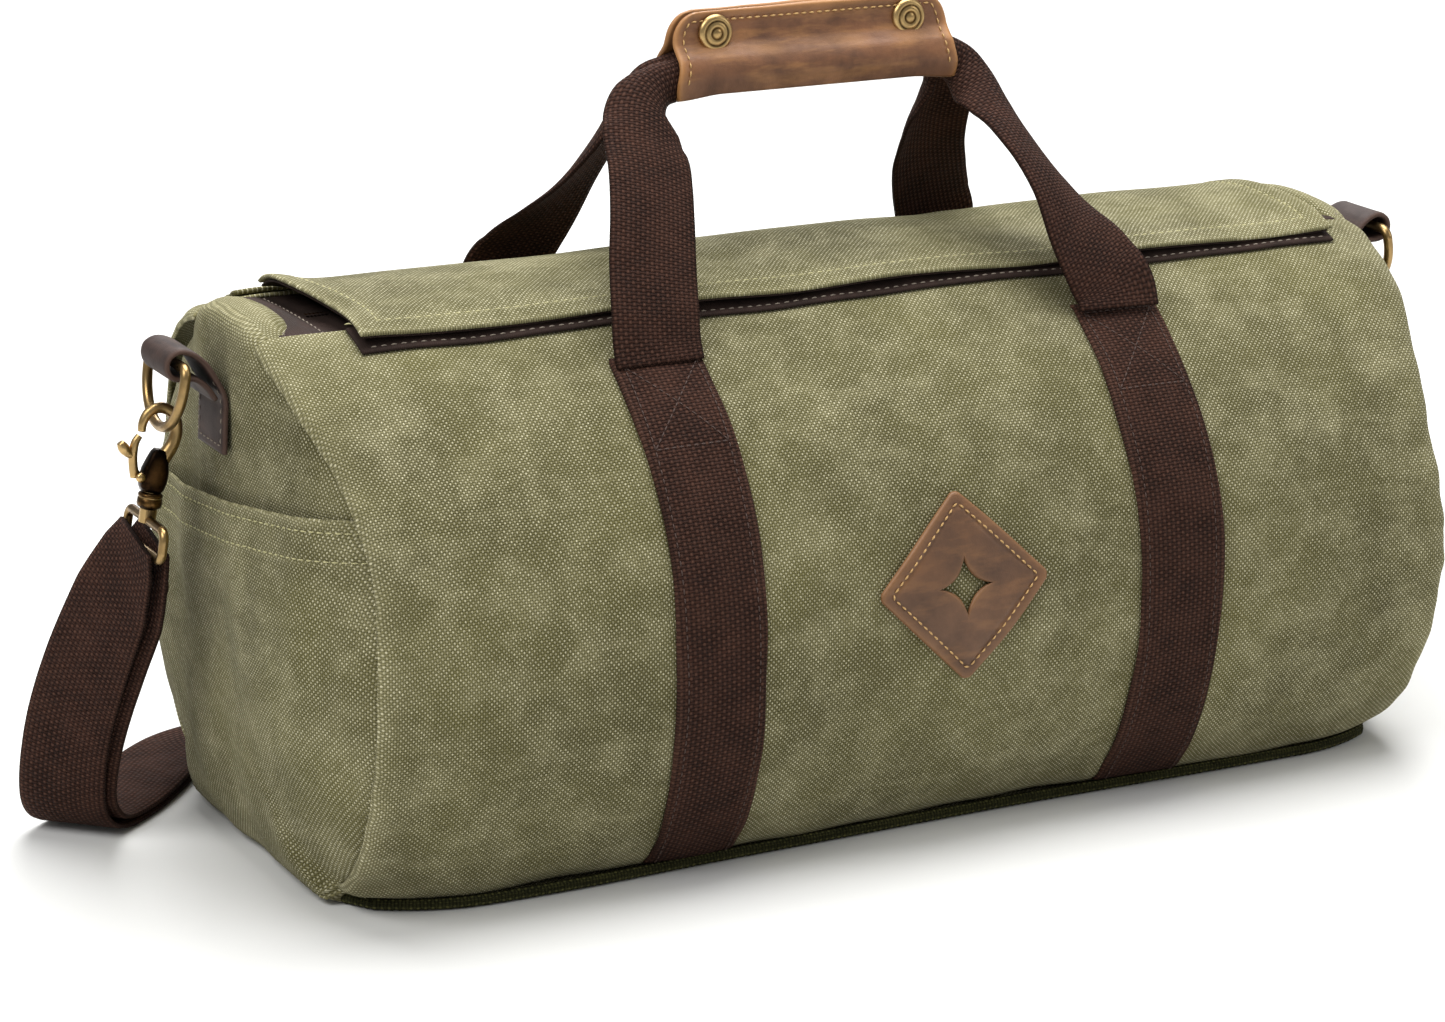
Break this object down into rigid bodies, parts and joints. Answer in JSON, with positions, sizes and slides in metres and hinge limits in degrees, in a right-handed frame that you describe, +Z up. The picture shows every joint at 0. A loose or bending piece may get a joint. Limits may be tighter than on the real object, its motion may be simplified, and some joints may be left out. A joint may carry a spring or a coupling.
{
  "type": "duffel bag",
  "caption": "Barrel duffel bag of heavy canvas with a covered zip, webbing carry handles joined by a snap grip, end pockets and a clip-on shoulder strap.",
  "frame": {"origin": "middle of the flat base, on the floor, the shoulder strap and its clips left out", "axes": "+X along the bag to its right end, -Y to the front with the patch, +Z up"},
  "size_m": [0.6894, 0.2837, 0.329],
  "materials": {
    "canvas": "coarse stone-washed canvas",
    "webbing": "ribbed dark brown webbing",
    "trim": "dark brown trim",
    "leather": "waxed pull-up leather",
    "brass": "antique, worn bright on edges",
    "lining": "plain cotton",
    "board": "hardboard",
    "zip_tape": "woven tape"
  },
  "bodies": {
    "bag": {"back_panel": "canvas", "base_board": "board", "base_panel": "canvas", "base_piping": "trim", "end_panel_left": "canvas", "end_panel_right": "canvas", "end_pocket_left": "canvas", "end_pocket_right": "canvas", "flap_seam_strip": "trim", "front_panel": "canvas", "handle_leg_back_left": "webbing", "handle_leg_back_right": "webbing", "handle_leg_front_left": "webbing", "handle_leg_front_right": "webbing", "leather_patch": "leather", "lining": "lining", "placket_front": "trim", "ring_tab_left": "trim", "ring_tab_right": "trim", "strap_drop_left": "webbing", "strap_drop_right": "webbing", "strap_floor_run": "webbing", "strap_return_drop": "webbing", "strap_return_run": "webbing", "strap_rivet": "brass", "webbing_back_left": "webbing", "webbing_back_right": "webbing", "webbing_front_left": "webbing", "webbing_front_right": "webbing", "zip_end_tab_left": "trim", "zip_end_tab_right": "trim", "zip_tape_back": "zip_tape", "zip_tape_front": "zip_tape", "zip_teeth_back": "brass", "zip_teeth_front": "brass"},
    "flap": {"rain_flap": "canvas", "flap_facing": "trim"},
    "handles": {"handle_bar_front": "webbing", "handle_bar_back": "webbing", "grip_back_layer": "leather", "snap_socket_left": "brass", "snap_socket_right": "brass"},
    "grip_flap": {"grip_front_layer": "leather", "snap_cap_left": "brass", "snap_cap_right": "brass"},
    "slider": {"strap_slider": "brass"},
    "zip_left": {"zip_slider_left": "brass"},
    "pull_left": {"zip_pull_left": "brass"},
    "ring_left": {"d_ring_left": "brass", "strap_eye_left": "brass"},
    "hook_left": {"hook_body_left": "brass", "trigger_pin_left": "brass"},
    "trigger_left": {"trigger_left": "brass"},
    "zip_right": {"zip_slider_right": "brass"},
    "pull_right": {"zip_pull_right": "brass"},
    "ring_right": {"d_ring_right": "brass", "strap_eye_right": "brass"},
    "hook_right": {"hook_body_right": "brass", "trigger_pin_right": "brass"},
    "trigger_right": {"trigger_right": "brass"}
  },
  "joints": [
    {"name": "flap_open", "type": "hinge", "parent": "bag", "child": "flap", "pos_m": [0, 0.0406, 0.2252], "axis": [-1, 0, 0], "range_deg": [0, 38]},
    {"name": "handles_sway", "type": "hinge", "parent": "bag", "child": "handles", "pos_m": [0, 0, 0.235], "axis": [1, 0, 0], "range_deg": [-8, 8], "deforming": ["handle_leg_front_left", "handle_leg_front_right", "handle_leg_back_left", "handle_leg_back_right"]},
    {"name": "grip_flap_open", "type": "hinge", "parent": "handles", "child": "grip_flap", "pos_m": [0, -0.0112, 0.2957], "axis": [1, 0, 0], "range_deg": [0, 100]},
    {"name": "strap_slider_slide", "type": "slide", "parent": "bag", "child": "slider", "axis": [1, 0, 0], "range_m": [-0.06, 0.06]},
    {"name": "zip_left_open", "type": "slide", "parent": "bag", "child": "zip_left", "axis": [-1, 0, 0], "range_m": [0, 0.19]},
    {"name": "zip_pull_left_lift", "type": "hinge", "parent": "zip_left", "child": "pull_left", "pos_m": [-0.009, 0, 0.2229], "axis": [0, 1, 0], "range_deg": [0, 11]},
    {"name": "ring_left_swing", "type": "hinge", "parent": "bag", "child": "ring_left", "pos_m": [-0.282, 0, 0.209], "axis": [0, 1, 0], "range_deg": [-4, 45], "deforming": ["strap_drop_left", "strap_return_drop", "strap_rivet"]},
    {"name": "hook_left_swivel", "type": "hinge", "parent": "ring_left", "child": "hook_left", "pos_m": [-0.28669, 0, 0.18241], "axis": [0.1736, 0, 0.9848], "range_deg": [-20, 20]},
    {"name": "trigger_left_open", "type": "hinge", "parent": "hook_left", "child": "trigger_left", "pos_m": [-0.29754, 0, 0.16351], "axis": [0, 1, 0], "range_deg": [0, 25], "stiffness_Nm_per_rad": 0.03},
    {"name": "zip_right_open", "type": "slide", "parent": "bag", "child": "zip_right", "axis": [1, 0, 0], "range_m": [0, 0.19]},
    {"name": "zip_pull_right_lift", "type": "hinge", "parent": "zip_right", "child": "pull_right", "pos_m": [0.009, 0, 0.2229], "axis": [0, -1, 0], "range_deg": [0, 11]},
    {"name": "ring_right_swing", "type": "hinge", "parent": "bag", "child": "ring_right", "pos_m": [0.282, 0, 0.209], "axis": [0, -1, 0], "range_deg": [-4, 45], "deforming": ["strap_drop_right"]},
    {"name": "hook_right_swivel", "type": "hinge", "parent": "ring_right", "child": "hook_right", "pos_m": [0.28669, 0, 0.18241], "axis": [-0.1736, 0, 0.9848], "range_deg": [-20, 20]},
    {"name": "trigger_right_open", "type": "hinge", "parent": "hook_right", "child": "trigger_right", "pos_m": [0.29754, 0, 0.16351], "axis": [0, -1, 0], "range_deg": [0, 25], "stiffness_Nm_per_rad": 0.03}
  ]
}
